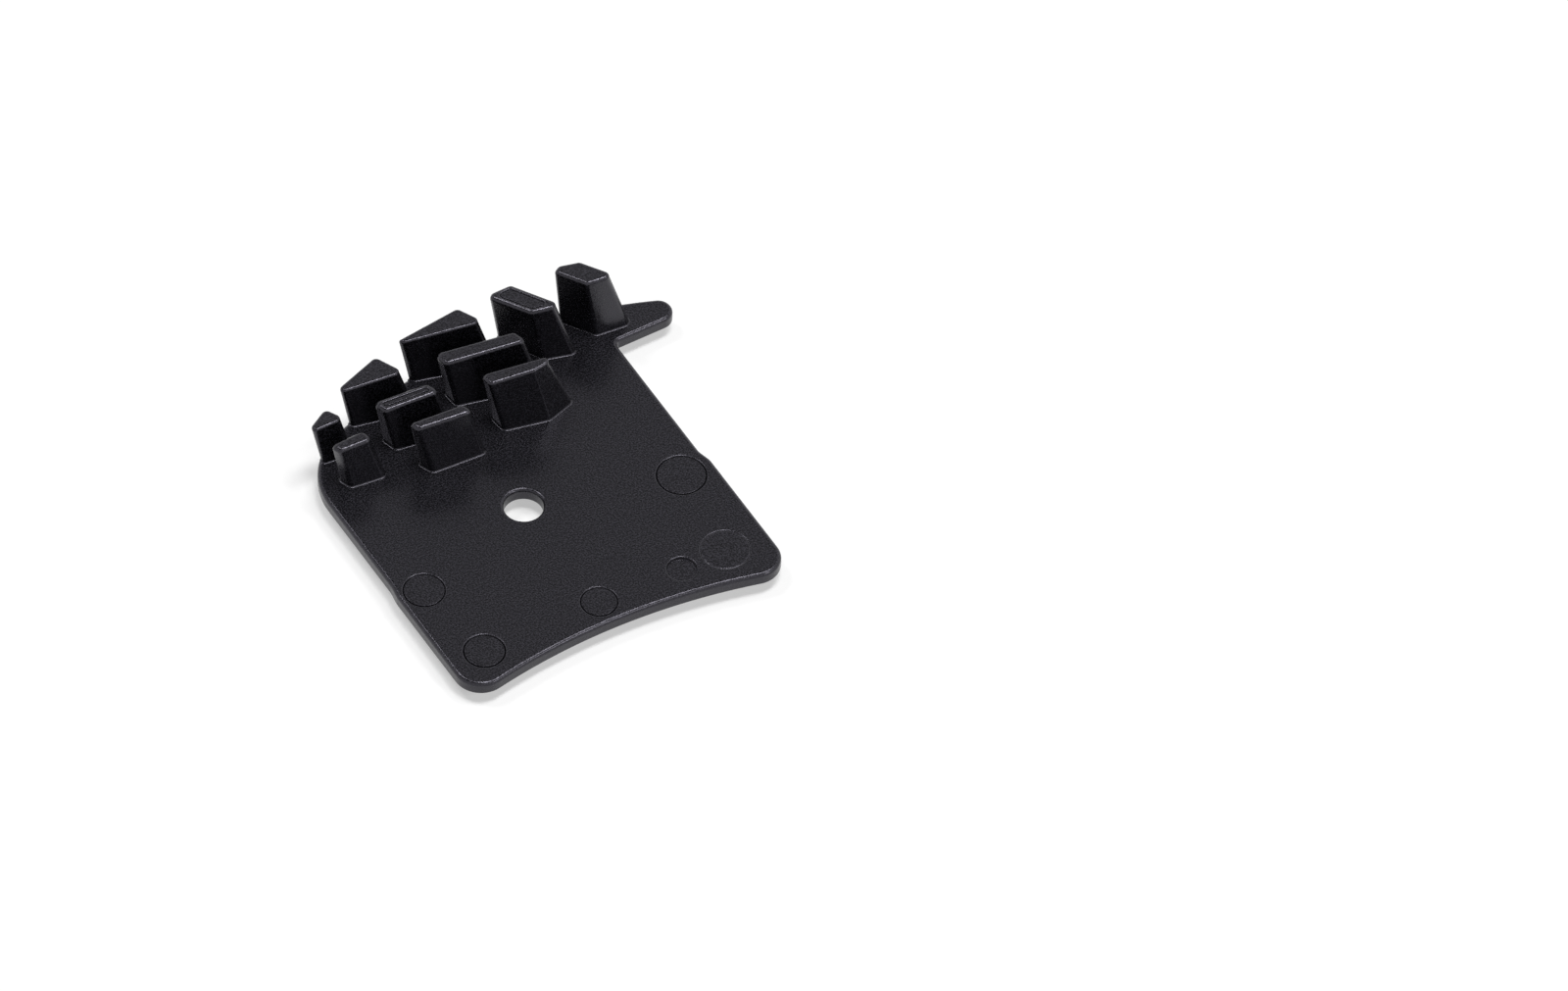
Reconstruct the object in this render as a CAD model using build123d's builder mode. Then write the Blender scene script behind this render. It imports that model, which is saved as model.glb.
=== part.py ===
# Finned bicycle disc brake pad: a cast backing plate with leaning cooling fins, and a friction lining
# bonded to its other face. Millimetres. The origin is on the pin hole's axis at the plate's finned face,
# +Z points out of that face, +Y towards the finned end and +X towards the tab.
from math import hypot, sqrt
import os

from build123d import *

# Backing plate: outline, taken round from the concave edge that faces the rotor's hub
PLATE_T = 1.25
TAB_SIDE_X = 15.6
FAR_SIDE_X = -13.82
TAB_SHOULDER = 0.35
FAR_SHOULDER = 0.18
SHOULDER_TOP_Y = -1.8
SHOULDER_FOOT_Y = -3.5
HUB_ARC_C = (-1.2, -69.5)
HUB_ARC_R = 55.15
RIM_ARC_C = (5.2, -23.95)
RIM_ARC_R = 41.1
TAB_EDGE_Y = 11.7
TAB_TIP_R = 1.2
NOTCH_R = 0.5
FAR_RIM_CORNER_R = 6.6
FAR_HUB_CORNER_R = 2.4
TAB_HUB_CORNER_R = 2.2
PLATE_EDGE_R = 0.25

# Pin hole, on the origin
PIN_HOLE_R = 1.65
HOLE_RIM_R = 0.3
HOLE_BACK_RIM = 0.15

# Shallow round marks of the mould's ejector pins: centre x, centre y, radius
EJECTOR_MARKS = (
    (-10.75, -12.0, 1.75),
    (-11.75, -3.9, 1.75),
    (0.1, -12.1, 1.55),
    (11.95, -12.4, 2.05),
    (12.95, -3.65, 2.1),
)
EJECTOR_DEPTH = 0.08
INSERT_MARK = (7.8, -12.4, 1.25)
INSERT_DEPTH = 0.18

# Cooling fins: their tops lie on one sloping plane, and all of them lean away from the tab
FIN_TOP_Z = 6.0
FIN_TOP_SLOPE_X = 0.08
FIN_TOP_SLOPE_Y = -0.073
FIN_LEAN_X = -0.195
FIN_LEAN_Y = 0.071
FIN_DRAFT = 0.32
FIN_ROOT_Z = -0.4
FIN_BLANK = 24.0
FIN_RIM_INSET = 0.06
FIN_CORNER_R = 0.3
FIN_CORNER_SHARE = 0.35
FIN_CROWN_EDGE = 0.13
FIN_EDGE_SHARE = 0.6

# Plan of each fin's crown, carried down its lean to the plate's face, corner by corner
FIN_PLANS = {
    "rim_1": ((13.65, 15.9), (14.25, 16.25), (15.8, 15.65), (17.2, 13.0), (15.2, 13.2)),
    "rim_2": ((7.95, 17.0), (9.8, 16.75), (12.0, 12.4), (9.7, 13.1)),
    "rim_3": ((-1.0, 16.75), (4.75, 17.0), (5.6, 14.7), (-0.8, 16.4)),
    "rim_4": ((-7.7, 15.05), (-3.65, 16.25), (-2.75, 13.65), (-7.75, 14.6)),
    "rim_5": ((-11.85, 12.65), (-10.0, 13.65), (-9.45, 12.05), (-11.85, 12.15)),
    "middle_1": ((0.75, 13.75), (7.05, 12.15), (7.5, 10.75), (0.9, 12.3)),
    "middle_2": ((-6.3, 12.0), (-1.7, 11.3), (-1.25, 10.0), (-5.9, 10.65)),
    "inner_1": ((2.7, 9.45), (8.25, 8.1), (8.15, 7.55), (6.7, 7.4), (2.9, 8.2)),
    "inner_2": ((-4.95, 8.25), (-0.4, 7.6), (0.0, 6.5), (-4.55, 7.3)),
    "inner_3": ((-11.55, 9.9), (-8.6, 9.8), (-8.35, 8.6), (-11.2, 8.95)),
}

# Feet that spread further than the fins' draft, corner by corner at the plate's face
FIN_FEET = {
    "rim_1": ((12.65, 15.9), (13.2, 16.25), (15.95, 15.6), (17.55, 12.6), (14.6, 12.95)),
    "rim_5": ((-12.1, 12.55), (-9.85, 14.1), (-9.1, 11.75), (-12.1, 12.05)),
    "inner_1": ((2.35, 9.85), (8.95, 8.5), (9.3, 7.65), (6.6, 6.85), (2.65, 7.75)),
    "inner_2": ((-5.55, 8.55), (-0.1, 7.95), (0.55, 6.35), (-4.75, 6.7)),
}

# Friction lining, inside the plate's outline on the other face
LINING_T = 1.1
LINING_SIDE_INSET = 0.9
LINING_HUB_INSET = 0.95
LINING_INNER_C = (2.55, -58.95)
LINING_INNER_R = 56.15
LINING_INNER_CORNER_R = 1.2
LINING_HUB_CORNER_R = 1.6
LINING_EDGE = 0.1


def on_circle(centre, radius, x):
    """Return the upper point at this x on a circle."""
    return (x, centre[1] + sqrt(radius**2 - (x - centre[0]) ** 2))


def grown(corners, margin):
    """Move every side of a clockwise outline outwards by the margin, and return its new corners."""
    sides = []
    for (ax, ay), (bx, by) in zip(corners, corners[1:] + corners[:1]):
        length = hypot(bx - ax, by - ay)
        nx, ny = (ay - by) / length, (bx - ax) / length
        sides.append((nx, ny, nx * ax + ny * ay + margin))
    moved = []
    for (px, py, pd), (qx, qy, qd) in zip(sides[-1:] + sides[:-1], sides):
        cross = px * qy - py * qx
        moved.append(((pd * qy - qd * py) / cross, (qd * px - pd * qx) / cross))
    return moved


def held_inside_rim(corner):
    """Pull a corner back along its radius where it would stand past the plate's rim."""
    dx, dy = corner[0] - RIM_ARC_C[0], corner[1] - RIM_ARC_C[1]
    reach = min(1.0, (RIM_ARC_R - FIN_RIM_INSET) / hypot(dx, dy))
    return (RIM_ARC_C[0] + dx * reach, RIM_ARC_C[1] + dy * reach)


def on_crown(corner):
    """Carry a corner up the fins' lean to the plane of their tops."""
    x, y = corner
    rise = FIN_TOP_Z + FIN_TOP_SLOPE_X * x + FIN_TOP_SLOPE_Y * y
    z = rise / (1 - FIN_TOP_SLOPE_X * FIN_LEAN_X - FIN_TOP_SLOPE_Y * FIN_LEAN_Y)
    return Vector(x + FIN_LEAN_X * z, y + FIN_LEAN_Y * z, z)


def side_plane(foot_start, foot_end, crown_start, crown_end):
    """Return the plane of one side of a fin, facing outwards."""
    low = Vector(*foot_start)
    run = Vector(*foot_end) - low
    rise = (crown_start + crown_end) * 0.5 - low
    return Plane(origin=low, x_dir=run, z_dir=rise.cross(run))


def shortest_side(corners):
    """Return the length of an outline's shortest side."""
    ends = corners[1:] + corners[:1]
    return min(hypot(bx - ax, by - ay) for (ax, ay), (bx, by) in zip(corners, ends))


crown_plane = Plane(
    origin=(0, 0, FIN_TOP_Z),
    x_dir=(1, 0, FIN_TOP_SLOPE_X),
    z_dir=(-FIN_TOP_SLOPE_X, -FIN_TOP_SLOPE_Y, 1),
)


def cooling_fin(name):
    """Make one fin as a tapering, leaning block with rounded corners and a bevelled crown."""
    plan = FIN_PLANS[name]
    spread = [held_inside_rim(corner) for corner in grown(plan, FIN_DRAFT)]
    foot = FIN_FEET.get(name, spread)
    crown = [on_crown(corner) for corner in plan]
    corner_r = min(FIN_CORNER_R, FIN_CORNER_SHARE * shortest_side(plan))
    crown_edge = min(FIN_CROWN_EDGE, FIN_EDGE_SHARE * corner_r)
    with BuildPart() as fin:
        with BuildSketch(Plane.XY.offset(FIN_ROOT_Z)):
            with Locations(plan[0]):
                Rectangle(FIN_BLANK, FIN_BLANK)
        extrude(amount=FIN_BLANK)
        split(bisect_by=crown_plane, keep=Keep.BOTTOM)
        for start in range(-1, len(plan) - 1):
            side = side_plane(foot[start], foot[start + 1], crown[start], crown[start + 1])
            split(bisect_by=side, keep=Keep.BOTTOM)
        fillet(fin.edges().filter_by(lambda edge: edge.bounding_box().size.Z > PLATE_T), corner_r)
        chamfer(fin.faces().sort_by(Axis.Z)[-1].edges(), crown_edge)
    return fin.part


cooling_fins = [cooling_fin(name) for name in FIN_PLANS]

# Outline corners of the backing plate
tab_foot_x = TAB_SIDE_X + TAB_SHOULDER
far_foot_x = FAR_SIDE_X - FAR_SHOULDER
far_hub_corner = on_circle(HUB_ARC_C, HUB_ARC_R, far_foot_x)
tab_hub_corner = on_circle(HUB_ARC_C, HUB_ARC_R, tab_foot_x)
hub_arc_mid = on_circle(HUB_ARC_C, HUB_ARC_R, HUB_ARC_C[0])
far_rim_corner = on_circle(RIM_ARC_C, RIM_ARC_R, FAR_SIDE_X)
rim_arc_mid = on_circle(RIM_ARC_C, RIM_ARC_R, RIM_ARC_C[0])
tab_tip = (RIM_ARC_C[0] + sqrt(RIM_ARC_R**2 - (TAB_EDGE_Y - RIM_ARC_C[1]) ** 2), TAB_EDGE_Y)
notch = (TAB_SIDE_X, TAB_EDGE_Y)

with BuildPart() as backing_plate:
    with BuildSketch(Plane.XY.offset(-PLATE_T)) as plate_outline:
        with BuildLine():
            ThreePointArc(far_hub_corner, hub_arc_mid, tab_hub_corner)
            Polyline(
                tab_hub_corner,
                (tab_foot_x, SHOULDER_FOOT_Y),
                (TAB_SIDE_X, SHOULDER_TOP_Y),
                notch,
                tab_tip,
            )
            ThreePointArc(tab_tip, rim_arc_mid, far_rim_corner)
            Polyline(
                far_rim_corner,
                (FAR_SIDE_X, SHOULDER_TOP_Y),
                (far_foot_x, SHOULDER_FOOT_Y),
                far_hub_corner,
            )
        make_face()
        for corner, radius in (
            (far_hub_corner, FAR_HUB_CORNER_R),
            (tab_hub_corner, TAB_HUB_CORNER_R),
            (notch, NOTCH_R),
            (tab_tip, TAB_TIP_R),
            (far_rim_corner, FAR_RIM_CORNER_R),
        ):
            fillet(plate_outline.vertices().sort_by_distance(corner)[0], radius)
    extrude(amount=PLATE_T)
    fillet(backing_plate.faces().sort_by(Axis.Z)[-1].edges(), PLATE_EDGE_R)
    fillet(backing_plate.faces().sort_by(Axis.Z)[0].edges(), PLATE_EDGE_R)
    with Locations((0, 0, -PLATE_T)):
        Cylinder(PIN_HOLE_R, PLATE_T, align=(Align.CENTER, Align.CENTER, Align.MIN), mode=Mode.SUBTRACT)
    hole_rims = backing_plate.edges().filter_by(GeomType.CIRCLE).filter_by(lambda e: e.radius == PIN_HOLE_R)
    fillet(hole_rims.sort_by(Axis.Z)[-1], HOLE_RIM_R)
    chamfer(hole_rims.sort_by(Axis.Z)[0], HOLE_BACK_RIM)
    for x, y, radius in EJECTOR_MARKS:
        with BuildSketch(Plane.XY):
            with Locations((x, y)):
                Circle(radius)
        extrude(amount=-EJECTOR_DEPTH, mode=Mode.SUBTRACT)
    with BuildSketch(Plane.XY):
        with Locations(INSERT_MARK[:2]):
            Circle(INSERT_MARK[2])
    extrude(amount=-INSERT_DEPTH, mode=Mode.SUBTRACT)
    add(cooling_fins)

# Friction lining
lining_tab_x = tab_foot_x - LINING_SIDE_INSET
lining_far_x = far_foot_x + LINING_SIDE_INSET
lining_hub_r = HUB_ARC_R + LINING_HUB_INSET
lining_far_hub = on_circle(HUB_ARC_C, lining_hub_r, lining_far_x)
lining_tab_hub = on_circle(HUB_ARC_C, lining_hub_r, lining_tab_x)
lining_far_inner = on_circle(LINING_INNER_C, LINING_INNER_R, lining_far_x)
lining_tab_inner = on_circle(LINING_INNER_C, LINING_INNER_R, lining_tab_x)

with BuildPart() as friction_lining:
    with BuildSketch(Plane.XY.offset(-PLATE_T - LINING_T)) as lining_outline:
        with BuildLine():
            ThreePointArc(lining_far_hub, on_circle(HUB_ARC_C, lining_hub_r, HUB_ARC_C[0]), lining_tab_hub)
            Line(lining_tab_hub, lining_tab_inner)
            ThreePointArc(
                lining_tab_inner,
                on_circle(LINING_INNER_C, LINING_INNER_R, LINING_INNER_C[0]),
                lining_far_inner,
            )
            Line(lining_far_inner, lining_far_hub)
        make_face()
        for corner, radius in (
            (lining_far_hub, LINING_HUB_CORNER_R),
            (lining_tab_hub, LINING_HUB_CORNER_R),
            (lining_far_inner, LINING_INNER_CORNER_R),
            (lining_tab_inner, LINING_INNER_CORNER_R),
        ):
            fillet(lining_outline.vertices().sort_by_distance(corner)[0], radius)
    extrude(amount=LINING_T)
    chamfer(friction_lining.faces().sort_by(Axis.Z)[0].edges(), LINING_EDGE)

os.makedirs("parts", exist_ok=True)
backing_plate.part.label = "backing_plate"
export_step(backing_plate.part, "parts/backing_plate.step")
friction_lining.part.label = "friction_lining"
export_step(friction_lining.part, "parts/friction_lining.step")
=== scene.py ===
"""A bicycle disc brake pad: a black coated casting with ten cooling fins, and the friction lining under it.

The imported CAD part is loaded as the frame, and each of its two nodes is replaced by a dressed piece.
Lengths in the constants are in millimetres and in the CAD frame, unless a comment says otherwise.
The scene is in metres.
"""

import math

import bmesh
import bpy
from mathutils import Matrix, Vector


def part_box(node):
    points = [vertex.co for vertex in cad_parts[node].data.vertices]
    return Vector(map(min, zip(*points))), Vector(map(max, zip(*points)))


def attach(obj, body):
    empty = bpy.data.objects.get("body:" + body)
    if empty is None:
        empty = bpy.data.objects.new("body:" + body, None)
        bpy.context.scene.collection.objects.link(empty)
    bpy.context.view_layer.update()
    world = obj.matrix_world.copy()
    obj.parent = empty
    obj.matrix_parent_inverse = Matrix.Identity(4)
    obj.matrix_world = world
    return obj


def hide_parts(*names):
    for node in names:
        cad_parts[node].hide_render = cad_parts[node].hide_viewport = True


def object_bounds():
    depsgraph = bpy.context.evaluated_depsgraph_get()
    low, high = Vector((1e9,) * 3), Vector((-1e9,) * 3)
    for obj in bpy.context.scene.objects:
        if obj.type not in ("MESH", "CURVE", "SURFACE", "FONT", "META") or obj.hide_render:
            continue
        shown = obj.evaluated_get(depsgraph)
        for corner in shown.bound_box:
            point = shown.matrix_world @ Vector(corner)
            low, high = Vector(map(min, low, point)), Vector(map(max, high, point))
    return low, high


bl_info = {
    "name": "Finned Disc Brake Pad",
    "version": (1, 0, 0),
    "blender": (4, 5, 0),
    "location": "View3D > Sidebar > Brake Pad",
    "description": "Dresses a packed disc brake pad with a coated casting, cooling fins and a lining",
    "category": "Object",
}

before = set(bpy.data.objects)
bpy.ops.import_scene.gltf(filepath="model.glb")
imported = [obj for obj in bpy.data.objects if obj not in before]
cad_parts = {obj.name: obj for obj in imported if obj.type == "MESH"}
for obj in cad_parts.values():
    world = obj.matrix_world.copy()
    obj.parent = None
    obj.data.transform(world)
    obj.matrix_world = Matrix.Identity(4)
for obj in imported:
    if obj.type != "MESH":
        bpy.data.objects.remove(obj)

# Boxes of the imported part, in metres
CAD_LOW, CAD_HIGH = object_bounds()
PLATE_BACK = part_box("backing_plate")[0].z
LINING_LOW, LINING_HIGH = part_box("friction_lining")

MM = 0.001

# Material index that marks a flat face while a mesh is made, and such a face's weight in the normals
FLAT = 1
FLAT_WEIGHT = 1e6

# Points of an outline closer than this coincide
COINCIDENT = 1e-4

# Plate outline
TAB_SIDE_X = 15.6
FAR_SIDE_X = -13.82
TAB_SHOULDER = 0.35
FAR_SHOULDER = 0.18
SHOULDER_TOP_Y = -1.8
SHOULDER_FOOT_Y = -3.5
HUB_ARC_C = (-1.2, -69.5)
HUB_ARC_R = 55.15
RIM_ARC_C = (5.2, -23.95)
RIM_ARC_R = 41.1
TAB_EDGE_Y = 11.7
TAB_TIP_R = 1.2
NOTCH_R = 0.5
FAR_RIM_CORNER_R = 6.6
FAR_HUB_CORNER_R = 2.4
TAB_HUB_CORNER_R = 2.2

# Round marks on the plate: centre x, centre y, radius, depth, depth of the groove round it
ROUND_MARKS = (
    (-10.75, -12.0, 1.75, 0.02, 0.18),
    (-11.75, -3.9, 1.75, 0.02, 0.14),
    (0.1, -12.1, 1.55, 0.02, 0.14),
    (11.95, -12.4, 2.05, 0.04, 0.03),
    (12.95, -3.65, 2.1, 0.02, 0.16),
    (7.8, -12.4, 1.25, 0.25, 0.0),
)
MARK_LIP = 0.13

# Sunk edges: the steepest slope of the rounded lip, then the groove inside it: how far its outer side
# leans in for each millimetre of depth, its gap from the lip, the width of its floor, and the rise of its
# inner side, as distances inward with the share of the groove's depth that is left there
LIP_STEEPEST = math.radians(70.0)
GROOVE_LEAN = 0.3
GROOVE_GAP = 0.005
GROOVE_FLOOR = 0.04
GROOVE_RISE = ((0.05, 0.2), (0.08, 0.0), (0.1, 0.0))

# Cooling fins: the plane that the crowns lie on, and the lean for each millimetre of height
FIN_TOP_Z = 6.0
FIN_TOP_SLOPE_X = 0.08
FIN_TOP_SLOPE_Y = -0.073
FIN_LEAN_X = -0.195
FIN_LEAN_Y = 0.071

# How far feet stay inside the rim and are sunk in the plate, and how much wider and higher crowns are
# made because of their rounding
FIN_RIM_INSET = 0.06
FOOT_SINK = 0.25
FIN_SWELL = 0.1
FIN_RISE = 0.15

# How far a fin's walls are set in over its foot, as a share of the foot's fillet
FOOT_TUCK = 0.25

# The most that the rounding of a crown or a corner takes of a side, and the least rounding of a crown's
# corners, as a share of the crown's own
CROWN_SHARE = 0.4
CORNER_SHARE = 0.45
LEAST_CORNER = 0.5

# Crowns with a sunk outline
SUNK_CROWNS = ("rim_2", "middle_2")
SUNK_CROWN_DEPTH = 0.03
SUNK_CROWN_GROOVE = 0.1
SUNK_CROWN_LIP = 0.12

# The crowns' plans, carried down the fins' lean to the plate, clockwise
FIN_PLANS = {
    "rim_1": ((13.65, 15.9), (14.25, 16.25), (15.9, 15.65), (17.65, 12.7), (15.2, 13.2)),
    "rim_2": ((7.5, 16.9), (9.8, 16.75), (12.3, 12.35), (9.7, 13.1)),
    "rim_3": ((-1.0, 16.75), (4.75, 17.0), (5.85, 14.6), (-0.8, 16.4)),
    "rim_4": ((-7.7, 15.05), (-3.65, 16.25), (-2.5, 13.55), (-7.75, 14.6)),
    "rim_5": ((-11.85, 12.65), (-10.0, 13.65), (-9.2, 11.95), (-11.85, 12.15)),
    "middle_1": ((0.75, 13.75), (7.4, 12.05), (7.85, 10.65), (0.9, 12.3)),
    "middle_2": ((-6.3, 12.0), (-1.5, 11.25), (-1.05, 9.95), (-5.9, 10.65)),
    "inner_1": ((2.7, 9.45), (8.25, 8.1), (8.15, 7.55), (6.7, 7.4), (2.9, 8.2)),
    "inner_2": ((-4.95, 8.25), (-0.2, 7.55), (0.15, 6.45), (-4.55, 7.3)),
    "inner_3": ((-11.55, 9.9), (-8.6, 9.8), (-8.35, 8.6), (-11.2, 8.95)),
}

# Feet that aren't their plan widened by the draft, clockwise
FIN_FEET = {
    "rim_1": ((12.65, 15.9), (13.2, 16.25), (16.4, 15.5), (18.35, 12.55), (14.6, 12.95)),
    "rim_5": ((-12.1, 12.55), (-9.85, 14.1), (-8.9, 11.7), (-12.1, 12.05)),
    "inner_1": ((2.35, 9.85), (8.95, 8.5), (9.3, 7.65), (6.6, 6.85), (2.65, 7.75)),
    "inner_2": ((-5.55, 8.55), (-0.1, 7.95), (0.55, 6.35), (-4.75, 6.7)),
}

# Lining outline
LINING_SIDE_INSET = 0.9
LINING_HUB_INSET = 0.95
LINING_INNER_C = (2.55, -58.95)
LINING_INNER_R = 56.15
LINING_INNER_CORNER_R = 1.2
LINING_HUB_CORNER_R = 1.6

# How many steps a round stretch is made with
HUB_STEPS = 56
HUB_CORNER_STEPS = 14
SHOULDER_STEPS = 8
NOTCH_STEPS = 8
TAB_TIP_STEPS = 16
RIM_STEPS = 72
FAR_RIM_CORNER_STEPS = 20
EDGE_STEPS = 5
HOLE_STEPS = 64
HOLE_ROUNDING_STEPS = 6
HOLE_BACK_STEPS = 4
MARK_STEPS = 72
LIP_STEPS = 6
FIN_CORNER_STEPS = 5
FIN_ROUNDING_STEPS = 6
LINING_HUB_CORNER_STEPS = 12
LINING_INNER_CORNER_STEPS = 10

# Coat: the detail of its grain, then the scale of its slower waves, as a share of the grain's, and their
# share in the relief
GRAIN_DETAIL = 0.8
PEEL_SCALE = 0.18
PEEL_SHARE = 0.35

# Stretch of the grain over which the coat turns from glossy to dull, and from its darkest to its
# lightest specks, with how far the roughness goes each way and the specks' shades
GLOSS_RANGE = (0.3, 0.7)
GLOSS_SPREAD = 0.08
SPECK_RANGE = (0.42, 0.66)
SPECK_SHADES = (0.25, 2.5)
COAT_SPECULAR = 0.5
COAT_TINT = (0.89, 0.86, 1.0)

# Friction compound: the width, detail and roughness of its fine grain, the stretch of it that goes from
# dark to light, the two shades, the height of its relief, and its finish
LINING_GRAIN = 0.22
LINING_GRAIN_DETAIL = 4.0
LINING_GRAIN_ROUGHNESS = 0.75
LINING_SHADE_RANGE = (0.35, 0.65)
LINING_SHADES = (0.25, 1.85)
LINING_RELIEF = 0.02
LINING_ROUGHNESS = 0.72
LINING_SPECULAR = 0.3

# Grains of the compound's fillers: spacing, colour, size and blur as shares of the spacing, how many of
# the places hold one, and how strongly it shows
LINING_GRAINS = (
    (1.1, (0.18, 0.13, 0.08), 0.45, 0.3, 0.35, 0.5),
    (0.9, (0.08, 0.07, 0.1), 0.4, 0.3, 0.3, 0.5),
    (1.3, (0.3, 0.28, 0.28), 0.22, 0.14, 0.12, 0.5),
    (0.34, (0.34, 0.29, 0.26), 0.32, 0.1, 0.22, 0.75),
    (0.24, (0.02, 0.016, 0.018), 0.38, 0.1, 0.3, 0.85),
    (0.45, (0.015, 0.012, 0.015), 0.28, 0.08, 0.3, 0.9),
    (1.6, (0.22, 0.03, 0.03), 0.15, 0.06, 0.05, 0.75),
)

# Waves that make the fillers' grains ragged: how wide they are, and how far they push
LINING_RAGGED = 0.25
LINING_WARP = 0.35

# Where the overspray on the lining's sides starts and covers, as shares of the worn edge's height
OVERSPRAY_RANGE = (0.5, 1.0)

# The photograph's viewpoint: angles in degrees, the camera's place from the pin hole in metres, and its
# lens and sensor in millimetres
VIEW_AZIMUTH = -32.1
VIEW_ELEVATION = 49.27
VIEW_ROLL = 1.77
VIEW_RIGHT = 0.02145
VIEW_UP = 0.00078
VIEW_DISTANCE = 2.0183
VIEW_LENS = 562.5
VIEW_SENSOR = 36.0

# Where the studio's pale walls end under its dim ceiling: the height of a direction of length 1, which is
# lower at the back and at the left
WALL_TOP = 0.78
WALL_BLUR = 0.02
WALL_SLANT = (-0.12, 0.15, 1.0)

# How much light the floor gives of its own where it is seen or mirrored, so that it reads as white
FLOOR_LIFT = 0.46

# Round soft boxes, all turned to the pin hole: place and width, in metres
SOFT_BOXES = {
    "key": ((0.045, -0.06, 0.741), 0.22),
    "fill": ((-0.2, 0.32, 0.675), 0.22),
    "front": ((0.26, -0.555, 0.43), 0.2),
    "side": ((0.28, -0.045, 0.69), 0.2),
}


class PadPlateSettings(bpy.types.PropertyGroup):
    """Sizes of the casting's plate."""

    thickness: bpy.props.FloatProperty(
        name="Thickness", description="Thickness of the plate", default=-PLATE_BACK, unit="LENGTH"
    )
    edge_radius: bpy.props.FloatProperty(
        name="Edge Radius", description="Rounding of the plate's rim", default=0.35 * MM, unit="LENGTH"
    )
    back_edge_radius: bpy.props.FloatProperty(
        name="Back Edge Radius",
        description="Rounding of the rim's other edge",
        default=0.2 * MM,
        unit="LENGTH",
    )
    hole_radius: bpy.props.FloatProperty(
        name="Hole Radius", description="Radius of the pin hole", default=1.65 * MM, unit="LENGTH"
    )
    hole_rounding: bpy.props.FloatProperty(
        name="Hole Rounding",
        description="Rounding of the hole on the finned face",
        default=0.3 * MM,
        unit="LENGTH",
    )
    hole_back_rounding: bpy.props.FloatProperty(
        name="Hole Back Rounding",
        description="Rounding of the hole's other rim",
        default=0.15 * MM,
        unit="LENGTH",
    )


class PadFinSettings(bpy.types.PropertyGroup):
    """Sizes shared by the cooling fins."""

    draft: bpy.props.FloatProperty(
        name="Draft",
        description="How much wider a foot is than its crown's plan on each side",
        default=0.32 * MM,
        unit="LENGTH",
    )
    corner_radius: bpy.props.FloatProperty(
        name="Corner Radius", description="Rounding of the upright edges", default=0.5 * MM, unit="LENGTH"
    )
    crown_radius: bpy.props.FloatProperty(
        name="Crown Radius", description="Rounding of the crown's rim", default=0.36 * MM, unit="LENGTH"
    )
    foot_radius: bpy.props.FloatProperty(
        name="Foot Radius",
        description="Fillet between a fin and the plate",
        default=0.125 * MM,
        unit="LENGTH",
    )


class PadLiningSettings(bpy.types.PropertyGroup):
    """Size and colours of the friction lining."""

    edge_radius: bpy.props.FloatProperty(
        name="Edge Radius", description="Wear of the lining's lower edge", default=0.1 * MM, unit="LENGTH"
    )
    foot_radius: bpy.props.FloatProperty(
        name="Foot Radius",
        description="Bead of coat along the lining's foot",
        default=0.2 * MM,
        unit="LENGTH",
    )
    colour: bpy.props.FloatVectorProperty(
        name="Colour",
        description="Ground friction face",
        default=(0.15, 0.114, 0.104),
        subtype="COLOR",
        size=3,
    )
    side_colour: bpy.props.FloatVectorProperty(
        name="Side Colour",
        description="Overspray on the side walls",
        default=(0.02, 0.019, 0.019),
        subtype="COLOR",
        size=3,
    )


class PadCoatSettings(bpy.types.PropertyGroup):
    """Finish of the casting's black coat."""

    colour: bpy.props.FloatVectorProperty(
        name="Colour", description="Black coat", default=(0.0056, 0.0054, 0.0069), subtype="COLOR", size=3
    )
    roughness: bpy.props.FloatProperty(
        name="Roughness", description="Dullness of the coat", default=0.27, min=0.0, max=1.0, subtype="FACTOR"
    )
    grain: bpy.props.FloatProperty(
        name="Grain", description="Width of one grain of the coat", default=0.14 * MM, unit="LENGTH"
    )
    relief: bpy.props.FloatProperty(
        name="Relief", description="Height of the coat's grain", default=0.015 * MM, unit="LENGTH"
    )


class PadStageSettings(bpy.types.PropertyGroup):
    """Floor, light and camera."""

    floor_size: bpy.props.FloatProperty(
        name="Floor Size", description="Width of the floor", default=6.0, unit="LENGTH"
    )
    floor_colour: bpy.props.FloatVectorProperty(
        name="Floor Colour", description="Pale floor", default=(0.55, 0.55, 0.55), subtype="COLOR", size=3
    )
    wall_light: bpy.props.FloatProperty(
        name="Wall Light", description="Strength of the light from the pale walls", default=0.12, min=0.0
    )
    ceiling_light: bpy.props.FloatProperty(
        name="Ceiling Light", description="Strength of the light from the dim ceiling", default=0.07, min=0.0
    )
    key_light: bpy.props.FloatProperty(
        name="Key Light", description="Power of the soft box overhead", default=2.8, min=0.0, subtype="POWER"
    )
    fill_light: bpy.props.FloatProperty(
        name="Fill Light",
        description="Power of the soft box at the left",
        default=1.45,
        min=0.0,
        subtype="POWER",
    )
    front_light: bpy.props.FloatProperty(
        name="Front Light",
        description="Power of the soft box in front",
        default=1.0,
        min=0.0,
        subtype="POWER",
    )
    side_light: bpy.props.FloatProperty(
        name="Side Light",
        description="Power of the soft box at the right",
        default=1.25,
        min=0.0,
        subtype="POWER",
    )
    lens: bpy.props.FloatProperty(
        name="Lens", description="Focal length in millimetres", default=VIEW_LENS, min=1.0, unit="CAMERA"
    )


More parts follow.
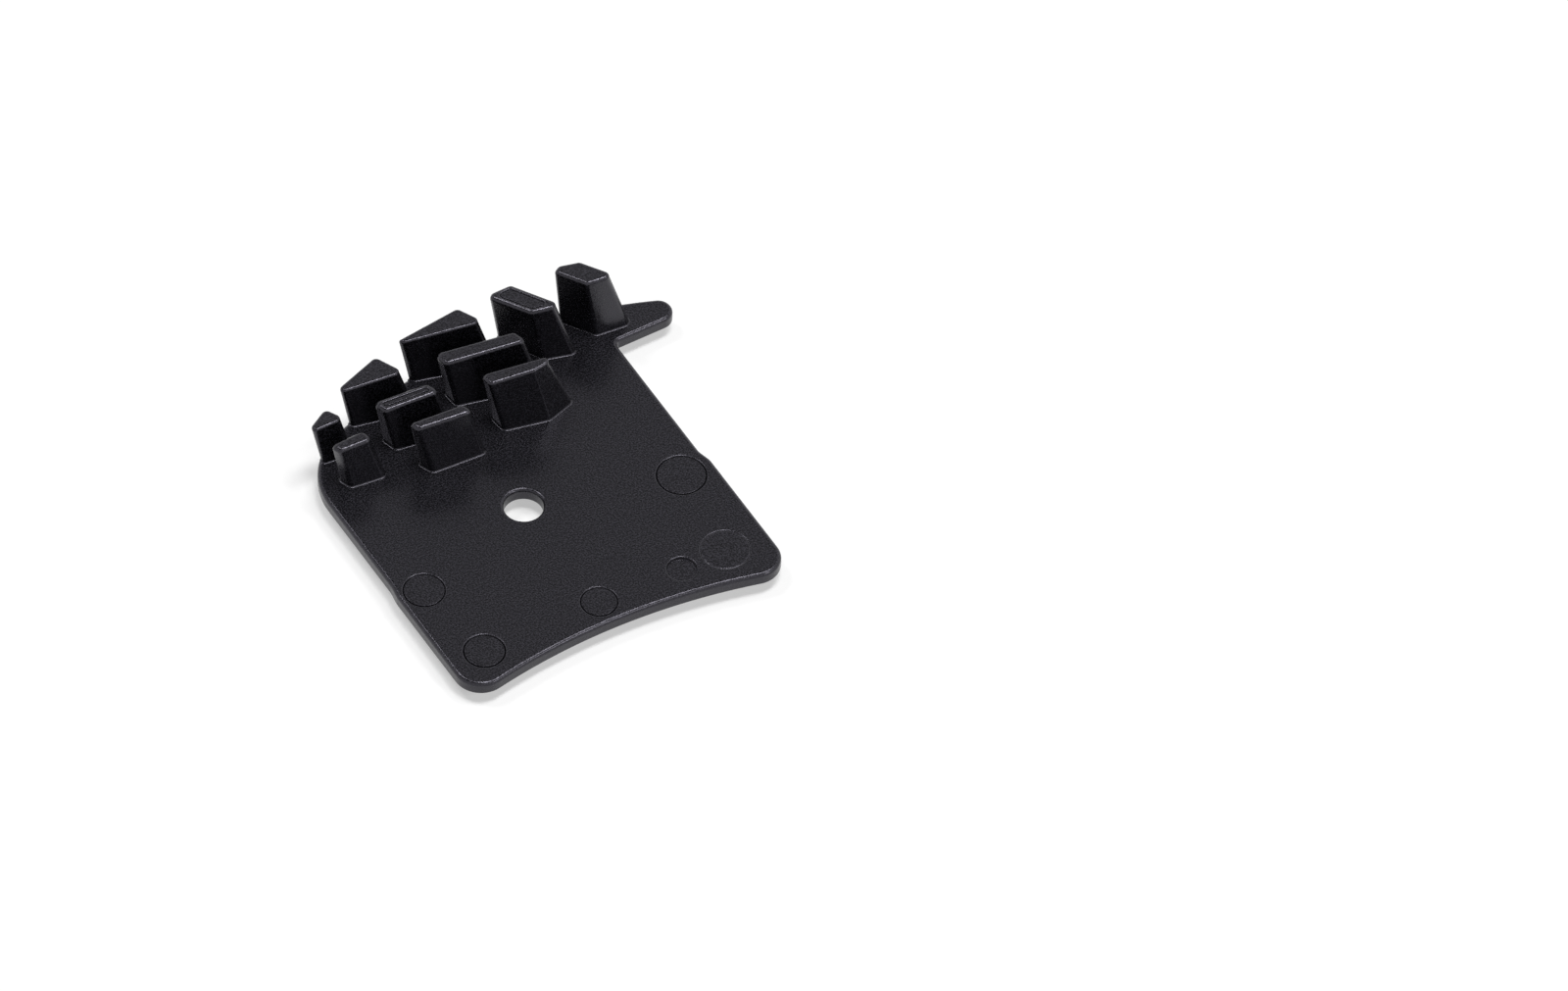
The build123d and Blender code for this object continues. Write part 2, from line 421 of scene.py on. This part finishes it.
def arc(centre, start, end, steps):
    """Points from start to end round centre, the short way."""
    radius = math.dist(centre, start)
    first = math.atan2(start[1] - centre[1], start[0] - centre[0])
    turn = math.atan2(end[1] - centre[1], end[0] - centre[0]) - first
    turn = (turn + math.pi) % math.tau - math.pi
    angles = [first + turn * step / steps for step in range(steps + 1)]
    return [(centre[0] + radius * math.cos(a), centre[1] + radius * math.sin(a)) for a in angles]


def circle(centre, radius, steps):
    """Points of a whole circle, counter-clockwise."""
    angles = [math.tau * step / steps for step in range(steps)]
    return [(centre[0] + radius * math.cos(a), centre[1] + radius * math.sin(a)) for a in angles]


def quarter(steps):
    """Angles of a quarter turn."""
    return [math.pi / 2 * step / steps for step in range(steps + 1)]


def wall_corner(wall_x, inward, arc_c, arc_r, corner_r, outside):
    """Centre of a round corner between an upright wall and an arc, and its ends on the two."""
    reach = arc_r + corner_r if outside else arc_r - corner_r
    x = wall_x + inward * corner_r
    y = arc_c[1] + math.sqrt(reach**2 - (x - arc_c[0]) ** 2)
    share = arc_r / reach
    return (x, y), (wall_x, y), (arc_c[0] + (x - arc_c[0]) * share, arc_c[1] + (y - arc_c[1]) * share)


def shoulder(start, end):
    """An S-shaped step in a side wall."""
    points = []
    for step in range(SHOULDER_STEPS + 1):
        along = step / SHOULDER_STEPS
        across = along * along * (3.0 - 2.0 * along)
        points.append((start[0] + (end[0] - start[0]) * across, start[1] + (end[1] - start[1]) * along))
    return points


def without_repeats(points):
    """The outline with points that coincide with the one before left out."""
    return [p for i, p in enumerate(points) if math.dist(p, points[i - 1]) > COINCIDENT]


def plate_outline():
    """The plate's outline, counter-clockwise from the concave edge."""
    tab_foot_x = TAB_SIDE_X + TAB_SHOULDER
    far_foot_x = FAR_SIDE_X - FAR_SHOULDER
    far_c, far_wall, far_hub = wall_corner(far_foot_x, 1, HUB_ARC_C, HUB_ARC_R, FAR_HUB_CORNER_R, True)
    tab_c, tab_wall, tab_hub = wall_corner(tab_foot_x, -1, HUB_ARC_C, HUB_ARC_R, TAB_HUB_CORNER_R, True)
    rim_c, rim_wall, rim_end = wall_corner(FAR_SIDE_X, 1, RIM_ARC_C, RIM_ARC_R, FAR_RIM_CORNER_R, False)
    tip_reach = RIM_ARC_R - TAB_TIP_R
    tip_y = TAB_EDGE_Y + TAB_TIP_R
    tip_x = RIM_ARC_C[0] + math.sqrt(tip_reach**2 - (tip_y - RIM_ARC_C[1]) ** 2)
    tip_share = RIM_ARC_R / tip_reach
    tip_rim = (
        RIM_ARC_C[0] + (tip_x - RIM_ARC_C[0]) * tip_share,
        RIM_ARC_C[1] + (tip_y - RIM_ARC_C[1]) * tip_share,
    )
    notch_c = (TAB_SIDE_X + NOTCH_R, TAB_EDGE_Y - NOTCH_R)
    points = arc(HUB_ARC_C, far_hub, tab_hub, HUB_STEPS)
    points += arc(tab_c, tab_hub, tab_wall, HUB_CORNER_STEPS)
    points += shoulder((tab_foot_x, SHOULDER_FOOT_Y), (TAB_SIDE_X, SHOULDER_TOP_Y))
    points += arc(notch_c, (TAB_SIDE_X, notch_c[1]), (notch_c[0], TAB_EDGE_Y), NOTCH_STEPS)
    points += arc((tip_x, tip_y), (tip_x, TAB_EDGE_Y), tip_rim, TAB_TIP_STEPS)
    points += arc(RIM_ARC_C, tip_rim, rim_end, RIM_STEPS)
    points += arc(rim_c, rim_end, rim_wall, FAR_RIM_CORNER_STEPS)
    points += shoulder((FAR_SIDE_X, SHOULDER_TOP_Y), (far_foot_x, SHOULDER_FOOT_Y))
    points += arc(far_c, far_wall, far_hub, HUB_CORNER_STEPS)
    return without_repeats(points)


def lining_outline():
    """The lining's outline, counter-clockwise from the edge beside the plate's concave one."""
    far_x = FAR_SIDE_X - FAR_SHOULDER + LINING_SIDE_INSET
    tab_x = TAB_SIDE_X + TAB_SHOULDER - LINING_SIDE_INSET
    hub_r = HUB_ARC_R + LINING_HUB_INSET
    far_c, far_wall, far_hub = wall_corner(far_x, 1, HUB_ARC_C, hub_r, LINING_HUB_CORNER_R, True)
    tab_c, tab_wall, tab_hub = wall_corner(tab_x, -1, HUB_ARC_C, hub_r, LINING_HUB_CORNER_R, True)
    inner = (LINING_INNER_C, LINING_INNER_R, LINING_INNER_CORNER_R, False)
    tab_inner_c, tab_inner_wall, tab_inner = wall_corner(tab_x, -1, *inner)
    far_inner_c, far_inner_wall, far_inner = wall_corner(far_x, 1, *inner)
    points = arc(HUB_ARC_C, far_hub, tab_hub, HUB_STEPS)
    points += arc(tab_c, tab_hub, tab_wall, LINING_HUB_CORNER_STEPS)
    points += arc(tab_inner_c, tab_inner_wall, tab_inner, LINING_INNER_CORNER_STEPS)
    points += arc(LINING_INNER_C, tab_inner, far_inner, HUB_STEPS)
    points += arc(far_inner_c, far_inner, far_inner_wall, LINING_INNER_CORNER_STEPS)
    points += arc(far_c, far_wall, far_hub, LINING_HUB_CORNER_STEPS)
    return without_repeats(points)


def inset(outline, amount):
    """A counter-clockwise outline moved inward by amount."""
    moved = []
    for i, point in enumerate(outline):
        before = Vector(point) - Vector(outline[i - 1])
        after = Vector(outline[(i + 1) % len(outline)]) - Vector(point)
        normal = before.normalized().orthogonal() + after.normalized().orthogonal()
        normal *= 2.0 / normal.length_squared
        moved.append(tuple(Vector(point) + normal * amount))
    return moved


def ring(mesh, points, height):
    """Vertices round points, at a height that is a number or a function of x and y."""
    heights = [height(*p) if callable(height) else height for p in points]
    return [mesh.verts.new((p[0] * MM, p[1] * MM, z * MM)) for p, z in zip(points, heights)]


def wall(mesh, rings):
    """Quads between rings that follow each other upward."""
    for low, high in zip(rings, rings[1:]):
        for i in range(len(low)):
            mesh.faces.new((low[i - 1], low[i], high[i], high[i - 1]))


def flat_face(mesh, loops, normal):
    """Fills between an outline and the holes in it."""
    edges = []
    for loop in loops:
        for i, vert in enumerate(loop):
            pair = (loop[i - 1], vert)
            edges.append(mesh.edges.get(pair) or mesh.edges.new(pair))
    filled = bmesh.ops.triangle_fill(mesh, use_beauty=True, edges=edges, normal=normal)
    for part in filled["geom"]:
        if isinstance(part, bmesh.types.BMFace):
            part.material_index = FLAT


def flat_cap(mesh, loop):
    """A flat face inside one ring."""
    mesh.faces.new(loop).material_index = FLAT


def add_slab(mesh, outline, low, high, low_radius, high_radius):
    """The side wall of a slab, rounded below and above.

    A high_radius under zero flares out as a fillet. Gives back the bottom ring and the top ring.
    """
    rings = []
    for angle in quarter(EDGE_STEPS):
        outline_here = inset(outline, low_radius * (1.0 - math.sin(angle)))
        rings.append(ring(mesh, outline_here, low + low_radius * (1.0 - math.cos(angle))))
    for angle in quarter(EDGE_STEPS):
        outline_here = inset(outline, high_radius * (1.0 - math.cos(angle)))
        rings.append(ring(mesh, outline_here, high - abs(high_radius) * (1.0 - math.sin(angle))))
    wall(mesh, rings)
    return rings[0], rings[-1]


def add_hole(mesh, radius, low, high, low_radius, high_radius):
    """The wall of the pin hole, open at both ends. Gives back its bottom ring and its top ring."""
    centre = (0.0, 0.0)
    rings = []
    for angle in quarter(HOLE_BACK_STEPS):
        round_here = circle(centre, radius + low_radius * (1.0 - math.sin(angle)), HOLE_STEPS)
        rings.append(ring(mesh, round_here, low + low_radius * (1.0 - math.cos(angle))))
    for angle in quarter(HOLE_ROUNDING_STEPS):
        round_here = circle(centre, radius + high_radius * (1.0 - math.cos(angle)), HOLE_STEPS)
        rings.append(ring(mesh, round_here, high - high_radius * (1.0 - math.sin(angle))))
    wall(mesh, rings)
    return rings[0], rings[-1]


def sunk_profile(lip, depth, groove):
    """How far inward and down the rings of a sunk edge lie: a rounded lip, a groove, then the floor."""
    lowest = depth + groove
    steepest = min(LIP_STEEPEST, math.acos(max(0.0, 1.0 - lowest / lip)))
    angles = [steepest * step / LIP_STEPS for step in range(LIP_STEPS + 1)]
    profile = [(lip * math.sin(a), lip * (1.0 - math.cos(a))) for a in angles]
    lip_end, lip_drop = profile[-1]
    inward = lip_end + GROOVE_LEAN * (lowest - lip_drop) + GROOVE_GAP
    profile += [(inward, lowest), (inward + GROOVE_FLOOR, lowest)]
    if groove:
        profile += [(inward + further, depth + left * groove) for further, left in GROOVE_RISE]
    return profile


def add_mark(mesh, x, y, radius, depth, groove):
    """A shallow round mark in the plate's face, with a fine groove round it. Gives back its outer ring."""
    rings = []
    for inward, drop in sunk_profile(MARK_LIP, depth, groove):
        rings.append(ring(mesh, circle((x, y), radius + MARK_LIP - inward, MARK_STEPS), -drop))
    wall(mesh, rings)
    flat_cap(mesh, rings[-1])
    return rings[0]


def grown(corners, margin):
    """A clockwise polygon with every side moved outward by margin."""
    lines = []
    for i, corner in enumerate(corners):
        start = Vector(corner)
        along = (Vector(corners[(i + 1) % len(corners)]) - start).normalized()
        outward = Vector((-along.y, along.x))
        lines.append((start + outward * margin, along))
    moved = []
    for (start, along), (other, across) in zip([lines[-1]] + lines[:-1], lines):
        between = other - start
        share = (between.x * across.y - between.y * across.x) / (along.x * across.y - along.y * across.x)
        moved.append(tuple(start + along * share))
    return moved


def rounded(corners, radius):
    """A clockwise polygon with its corners rounded, less where a side is short."""
    points = []
    for i, corner in enumerate(corners):
        here = Vector(corner)
        back = Vector(corners[i - 1]) - here
        ahead = Vector(corners[(i + 1) % len(corners)]) - here
        half = back.angle(ahead) / 2
        cut = min(radius / math.tan(half), CORNER_SHARE * back.length, CORNER_SHARE * ahead.length)
        start = here + back.normalized() * cut
        end = here + ahead.normalized() * cut
        middle = (back.normalized() + ahead.normalized()).normalized()
        points += arc(here + middle * (cut / math.cos(half)), start, end, FIN_CORNER_STEPS)
    return points


def held_on_plate(point):
    """The point, pulled in where it would stand out past the plate's rim or its rounded far corner."""
    corner_c, _, corner_rim = wall_corner(FAR_SIDE_X, 1, RIM_ARC_C, RIM_ARC_R, FAR_RIM_CORNER_R, False)
    at_corner = point[0] < corner_rim[0]
    centre = corner_c if at_corner else RIM_ARC_C
    allowed = (FAR_RIM_CORNER_R if at_corner else RIM_ARC_R) - FIN_RIM_INSET
    share = min(1.0, allowed / math.dist(point, centre))
    return tuple(c + (p - c) * share for p, c in zip(point, centre))


def crown_height(x, y):
    """Height of the plane that all crowns lie on."""
    return FIN_TOP_Z + FIN_RISE + FIN_TOP_SLOPE_X * x + FIN_TOP_SLOPE_Y * y


def on_crown(corner):
    """Where a corner of a fin's plan comes out on the crown plane."""
    lean_share = 1.0 - FIN_TOP_SLOPE_X * FIN_LEAN_X - FIN_TOP_SLOPE_Y * FIN_LEAN_Y
    z = crown_height(*corner) / lean_share
    return (corner[0] + FIN_LEAN_X * z, corner[1] + FIN_LEAN_Y * z)


def crown_ring(mesh, outline, drop):
    """Vertices round a clockwise outline, by drop under the crown plane."""
    return ring(mesh, outline[::-1], lambda x, y: crown_height(x, y) - drop)


def add_fin(mesh, name, fins):
    """One cooling fin, from a filleted foot sunk in the plate to a rounded crown."""
    foot_r = fins.foot_radius / MM
    corner_r = fins.corner_radius / MM
    foot = FIN_FEET.get(name) or grown(FIN_PLANS[name], fins.draft / MM)
    foot = grown(foot, -FOOT_TUCK * foot_r)
    crown = [on_crown(corner) for corner in grown(FIN_PLANS[name], FIN_SWELL)]
    shortest = min(math.dist(a, b) for a, b in zip(crown, crown[1:] + crown[:1]))
    crown_r = min(fins.crown_radius / MM, CROWN_SHARE * shortest)
    rings = []
    for angle in quarter(FIN_ROUNDING_STEPS):
        height = foot_r * (1.0 - math.cos(angle))
        up = height / FIN_TOP_Z
        level = [tuple(Vector(a).lerp(Vector(b), up)) for a, b in zip(foot, crown)]
        flare = foot_r * (1.0 - math.sin(angle))
        outline = [held_on_plate(p) for p in rounded(grown(level, flare), corner_r + flare)]
        if not rings:
            rings.append(ring(mesh, outline[::-1], -FOOT_SINK))
        rings.append(ring(mesh, outline[::-1], height))
    for angle in quarter(FIN_ROUNDING_STEPS):
        reach = crown_r * (1.0 - math.cos(angle))
        outline = rounded(grown(crown, -reach), max(corner_r - reach, LEAST_CORNER * crown_r))
        rings.append(crown_ring(mesh, outline, crown_r * (1.0 - math.sin(angle))))
    if name in SUNK_CROWNS:
        for inward, drop in sunk_profile(SUNK_CROWN_LIP, SUNK_CROWN_DEPTH, SUNK_CROWN_GROOVE):
            outline = rounded(grown(crown, -crown_r - inward), corner_r)
            rings.append(crown_ring(mesh, outline, drop))
    wall(mesh, rings)
    flat_cap(mesh, rings[0][::-1])
    flat_cap(mesh, rings[-1])


def steady_normals(data):
    """A normal for each vertex: that of the flat face it bounds, or else mostly that of its largest faces."""
    sums = [Vector() for _ in data.vertices]
    for face in data.polygons:
        weight = FLAT_WEIGHT if face.material_index == FLAT else (face.area / MM**2) ** 2
        for i in face.vertices:
            sums[i] += face.normal * weight
    return [total.normalized() for total in sums]


def new_piece(name, mesh, material):
    """A smooth-shaded object made from a mesh that is being edited, whose flat faces look flat."""
    bmesh.ops.recalc_face_normals(mesh, faces=mesh.faces)
    data = bpy.data.meshes.new(name)
    mesh.to_mesh(data)
    mesh.free()
    data.shade_smooth()
    data.normals_split_custom_set_from_vertices(steady_normals(data))
    data.polygons.foreach_set("material_index", [0] * len(data.polygons))
    data.materials.append(material)
    piece = bpy.data.objects.new(name, data)
    bpy.context.scene.collection.objects.link(piece)
    return piece


def input_of(made, name):
    """A node's input by its name, with _ for a space, or by its number after an i."""
    if name[0] == "i" and name[1:].isdigit():
        return made.inputs[int(name[1:])]
    return made.inputs[name.replace("_", " ")]


def node(tree, kind, settings=None, **inputs):
    """A shader node with its settings and its inputs: numbers, colours or other nodes' sockets."""
    made = tree.nodes.new(kind)
    for name, value in (settings or {}).items():
        setattr(made, name, value)
    for name, value in inputs.items():
        socket = input_of(made, name)
        if isinstance(value, bpy.types.NodeSocket):
            tree.links.new(value, socket)
        else:
            socket.default_value = value
    return made


def noise(tree, place, width, **inputs):
    """The outputs of a noise whose grains are about width metres wide."""
    return node(tree, "ShaderNodeTexNoise", Vector=place, Scale=1.0 / width, **inputs).outputs


def calculate(tree, operation, first, second):
    """The result of one operation on two values."""
    return node(tree, "ShaderNodeMath", {"operation": operation}, i0=first, i1=second).outputs[0]


def carried(tree, value, given, wanted):
    """A value carried from a given range to a wanted one, and held at its ends."""
    limits = {"From_Min": given[0], "From_Max": given[1], "To_Min": wanted[0], "To_Max": wanted[1]}
    return node(tree, "ShaderNodeMapRange", Value=value, **limits).outputs["Result"]


def between_colours(tree, share, first, second):
    """A colour that goes from the first to the second as share goes from 0 to 1."""
    first, second = (c if isinstance(c, bpy.types.NodeSocket) else (*c, 1.0) for c in (first, second))
    return node(tree, "ShaderNodeMix", {"data_type": "RGBA"}, i0=share, i6=first, i7=second).outputs[2]


def shades(colour, amounts):
    """A colour made darker or lighter by each amount."""
    return [[amount * c for c in colour] for amount in amounts]


def new_material(name):
    """An empty node material, and its tree."""
    material = bpy.data.materials.new(name)
    material.use_nodes = True
    material.node_tree.nodes.clear()
    return material, material.node_tree


def coat_material(coat):
    """Black coat with a fine grain."""
    material, tree = new_material("Black coat")
    place = node(tree, "ShaderNodeTexCoord").outputs["Object"]
    grain = noise(tree, place, coat.grain, Detail=GRAIN_DETAIL)["Fac"]
    peel = noise(tree, place, coat.grain / PEEL_SCALE)["Fac"]
    height = node(tree, "ShaderNodeMix", {"data_type": "FLOAT"}, i0=PEEL_SHARE, i2=grain, i3=peel).outputs[0]
    bump = node(tree, "ShaderNodeBump", Strength=1.0, Distance=coat.relief, Height=height)
    roughness = (coat.roughness - GLOSS_SPREAD, coat.roughness + GLOSS_SPREAD)
    speck = carried(tree, grain, SPECK_RANGE, (0.0, 1.0))
    shader = node(
        tree,
        "ShaderNodeBsdfPrincipled",
        Base_Color=between_colours(tree, speck, *shades(coat.colour, SPECK_SHADES)),
        Roughness=carried(tree, grain, GLOSS_RANGE, roughness),
        Normal=bump.outputs["Normal"],
        Specular_IOR_Level=COAT_SPECULAR,
        Specular_Tint=(*COAT_TINT, 1.0),
    )
    node(tree, "ShaderNodeOutputMaterial", Surface=shader.outputs["BSDF"])
    return material


def ragged_place(tree, place):
    """A place pushed about by fine waves."""
    waves = noise(tree, place, LINING_RAGGED * MM)["Color"]
    middle = (0.5, 0.5, 0.5)
    centred = node(tree, "ShaderNodeVectorMath", {"operation": "SUBTRACT"}, i0=waves, i1=middle)
    spread = centred.outputs["Vector"]
    push = [LINING_WARP * MM] * 3
    warped = node(tree, "ShaderNodeVectorMath", {"operation": "MULTIPLY_ADD"}, i0=spread, i1=push, i2=place)
    return warped.outputs["Vector"]


def lining_material(lining):
    """Ground friction compound with the grains of its fillers, and overspray on its side walls."""
    material, tree = new_material("Friction compound")
    place = node(tree, "ShaderNodeTexCoord").outputs["Object"]
    fine = {"Detail": LINING_GRAIN_DETAIL, "Roughness": LINING_GRAIN_ROUGHNESS}
    body = noise(tree, place, LINING_GRAIN * MM, **fine)["Fac"]
    shade = carried(tree, body, LINING_SHADE_RANGE, (0.0, 1.0))
    colour = between_colours(tree, shade, *shades(lining.colour, LINING_SHADES))
    warped = ragged_place(tree, place)
    for spacing, grain, size, blur, share, strength in LINING_GRAINS:
        cells = node(tree, "ShaderNodeTexVoronoi", Vector=warped, Scale=1.0 / (spacing * MM)).outputs
        chance = node(tree, "ShaderNodeSeparateColor", Color=cells["Color"]).outputs["Red"]
        picked = calculate(tree, "LESS_THAN", chance, share)
        near = carried(tree, cells["Distance"], (size - blur, size + blur), (strength, 0.0))
        colour = between_colours(tree, calculate(tree, "MULTIPLY", picked, near), colour, grain)
    height = node(tree, "ShaderNodeSeparateXYZ", Vector=warped).outputs["Z"]
    spray_edge = [LINING_LOW.z + share * lining.edge_radius for share in OVERSPRAY_RANGE]
    bare = carried(tree, height, spray_edge, (1.0, 0.0))
    bump = node(tree, "ShaderNodeBump", Strength=1.0, Distance=LINING_RELIEF * MM, Height=body)
    shader = node(
        tree,
        "ShaderNodeBsdfPrincipled",
        Base_Color=between_colours(tree, bare, lining.side_colour, colour),
        Roughness=LINING_ROUGHNESS,
        Normal=bump.outputs["Normal"],
        Specular_IOR_Level=LINING_SPECULAR,
    )
    node(tree, "ShaderNodeOutputMaterial", Surface=shader.outputs["BSDF"])
    return material


def seen_plainly(tree):
    """1 where a surface is seen straight, in a reflection or through glass, and 0 where it only lights."""
    path = node(tree, "ShaderNodeLightPath").outputs
    seen = calculate(tree, "MAXIMUM", path["Is Camera Ray"], path["Is Glossy Ray"])
    return calculate(tree, "MAXIMUM", seen, path["Is Transmission Ray"])


def floor_material(stage):
    """Pale floor that reads as white to the camera and keeps the pad's shadow."""
    material, tree = new_material("Pale floor")
    lit = node(tree, "ShaderNodeBsdfDiffuse", Color=(*stage.floor_colour, 1.0))
    lift = calculate(tree, "MULTIPLY", seen_plainly(tree), FLOOR_LIFT)
    glow = node(tree, "ShaderNodeEmission", Color=(1.0, 1.0, 1.0, 1.0), Strength=lift)
    both = node(tree, "ShaderNodeAddShader", i0=lit.outputs["BSDF"], i1=glow.outputs["Emission"])
    node(tree, "ShaderNodeOutputMaterial", Surface=both.outputs["Shader"])
    return material


class PAD_OT_backing_plate(bpy.types.Operator):
    """Build the coated casting with its fins"""

    bl_idname = "brake_pad.backing_plate"
    bl_label = "Backing Plate"

    def execute(self, context):
        plate = context.scene.pad_plate
        low = -plate.thickness / MM
        mesh = bmesh.new()
        bottom, top = add_slab(
            mesh, plate_outline(), low, 0.0, plate.back_edge_radius / MM, plate.edge_radius / MM
        )
        hole_bottom, hole_top = add_hole(
            mesh, plate.hole_radius / MM, low, 0.0, plate.hole_back_rounding / MM, plate.hole_rounding / MM
        )
        marks = [add_mark(mesh, *mark) for mark in ROUND_MARKS]
        flat_face(mesh, [top, hole_top, *marks], (0.0, 0.0, 1.0))
        flat_face(mesh, [bottom, hole_bottom], (0.0, 0.0, -1.0))
        for name in FIN_PLANS:
            add_fin(mesh, name, context.scene.pad_fins)
        piece = new_piece("coated_casting", mesh, coat_material(context.scene.pad_coat))
        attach(piece, "root")
        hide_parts("backing_plate")
        return {"FINISHED"}


class PAD_OT_friction_lining(bpy.types.Operator):
    """Build the friction lining"""

    bl_idname = "brake_pad.friction_lining"
    bl_label = "Friction Lining"

    def execute(self, context):
        lining = context.scene.pad_lining
        mesh = bmesh.new()
        edge_r = lining.edge_radius / MM
        foot_r = lining.foot_radius / MM
        bottom, top = add_slab(mesh, lining_outline(), LINING_LOW.z / MM, LINING_HIGH.z / MM, edge_r, -foot_r)
        flat_cap(mesh, bottom[::-1])
        flat_cap(mesh, top)
        piece = new_piece("lining_block", mesh, lining_material(lining))
        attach(piece, "root")
        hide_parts("friction_lining")
        return {"FINISHED"}


class PAD_OT_stage(bpy.types.Operator):
    """Set up the floor, the light and the camera"""

    bl_idname = "brake_pad.stage"
    bl_label = "Stage"

    def execute(self, context):
        stage = context.scene.pad_stage
        self.add_floor(context, stage)
        self.add_room(context, stage)
        for name, (place, size) in SOFT_BOXES.items():
            self.add_softbox(context, name, Vector(place), size, getattr(stage, f"{name}_light"))
        self.add_camera(context, stage)
        context.scene.view_settings.view_transform = "Standard"
        return {"FINISHED"}

    def add_floor(self, context, stage):
        half = stage.floor_size / 2
        data = bpy.data.meshes.new("floor")
        corners = [(-half, -half), (half, -half), (half, half), (-half, half)]
        data.from_pydata([(x, y, CAD_LOW.z) for x, y in corners], [], [(0, 1, 2, 3)])
        data.materials.append(floor_material(stage))
        floor = bpy.data.objects.new("floor", data)
        context.scene.collection.objects.link(floor)

    def add_room(self, context, stage):
        world = bpy.data.worlds.new("Studio")
        world.use_nodes = True
        tree = world.node_tree
        tree.nodes.clear()
        walls = carried(tree, seen_plainly(tree), (0.0, 1.0), (stage.wall_light, 1.0))
        direction = node(tree, "ShaderNodeTexCoord").outputs["Generated"]
        height = node(tree, "ShaderNodeVectorMath", {"operation": "DOT_PRODUCT"}, i0=direction, i1=WALL_SLANT)
        wall_edge = (WALL_TOP - WALL_BLUR, WALL_TOP + WALL_BLUR)
        strength = carried(tree, height.outputs["Value"], wall_edge, (walls, stage.ceiling_light))
        room = node(tree, "ShaderNodeBackground", Color=(1.0, 1.0, 1.0, 1.0), Strength=strength)
        node(tree, "ShaderNodeOutputWorld", Surface=room.outputs["Background"])
        context.scene.world = world

    def add_softbox(self, context, name, place, size, power):
        data = bpy.data.lights.new(name, "AREA")
        data.shape = "DISK"
        data.size = size
        data.energy = power
        lamp = bpy.data.objects.new(name, data)
        lamp.location = place
        lamp.rotation_mode = "QUATERNION"
        lamp.rotation_quaternion = (-place).to_track_quat("-Z", "Y")
        context.scene.collection.objects.link(lamp)

    def add_camera(self, context, stage):
        azimuth = math.radians(VIEW_AZIMUTH)
        elevation = math.radians(VIEW_ELEVATION)
        back = Vector(
            (
                math.sin(azimuth) * math.cos(elevation),
                -math.cos(azimuth) * math.cos(elevation),
                math.sin(elevation),
            )
        )
        level = Vector((math.cos(azimuth), math.sin(azimuth), 0.0))
        turn = Matrix.Rotation(math.radians(VIEW_ROLL), 3, back)
        right = turn @ level
        up = turn @ back.cross(level)
        data = bpy.data.cameras.new("camera")
        data.lens = stage.lens
        data.sensor_width = VIEW_SENSOR
        data.clip_end = 2.0 * stage.floor_size
        camera = bpy.data.objects.new("camera", data)
        camera.rotation_mode = "QUATERNION"
        camera.rotation_quaternion = Matrix((right, up, back)).transposed().to_quaternion()
        camera.location = right * VIEW_RIGHT + up * VIEW_UP + back * VIEW_DISTANCE
        context.scene.collection.objects.link(camera)
        context.scene.camera = camera


class PAD_PT_sidebar(bpy.types.Panel):
    """Sizes, finish and steps of the brake pad"""

    bl_idname = "PAD_PT_sidebar"
    bl_label = "Brake Pad"
    bl_space_type = "VIEW_3D"
    bl_region_type = "UI"
    bl_category = "Brake Pad"

    def draw(self, context):
        layout = self.layout
        for group in SETTINGS:
            box = layout.box()
            settings = getattr(context.scene, group)
            for name in settings.bl_rna.properties.keys():
                if name not in {"name", "rna_type"}:
                    box.prop(settings, name)
        for step in STEPS:
            layout.operator(step.bl_idname)


SETTINGS = {
    "pad_plate": PadPlateSettings,
    "pad_fins": PadFinSettings,
    "pad_lining": PadLiningSettings,
    "pad_coat": PadCoatSettings,
    "pad_stage": PadStageSettings,
}
STEPS = (PAD_OT_backing_plate, PAD_OT_friction_lining, PAD_OT_stage)
CLASSES = (*SETTINGS.values(), *STEPS, PAD_PT_sidebar)


def register():
    for cls in CLASSES:
        bpy.utils.register_class(cls)
    for name, group in SETTINGS.items():
        setattr(bpy.types.Scene, name, bpy.props.PointerProperty(type=group))


def unregister():
    for name in SETTINGS:
        delattr(bpy.types.Scene, name)
    for cls in reversed(CLASSES):
        bpy.utils.unregister_class(cls)


def main():
    register()
    bpy.ops.brake_pad.backing_plate()
    bpy.ops.brake_pad.friction_lining()
    bpy.ops.brake_pad.stage()


if __name__ == "__main__":
    main()
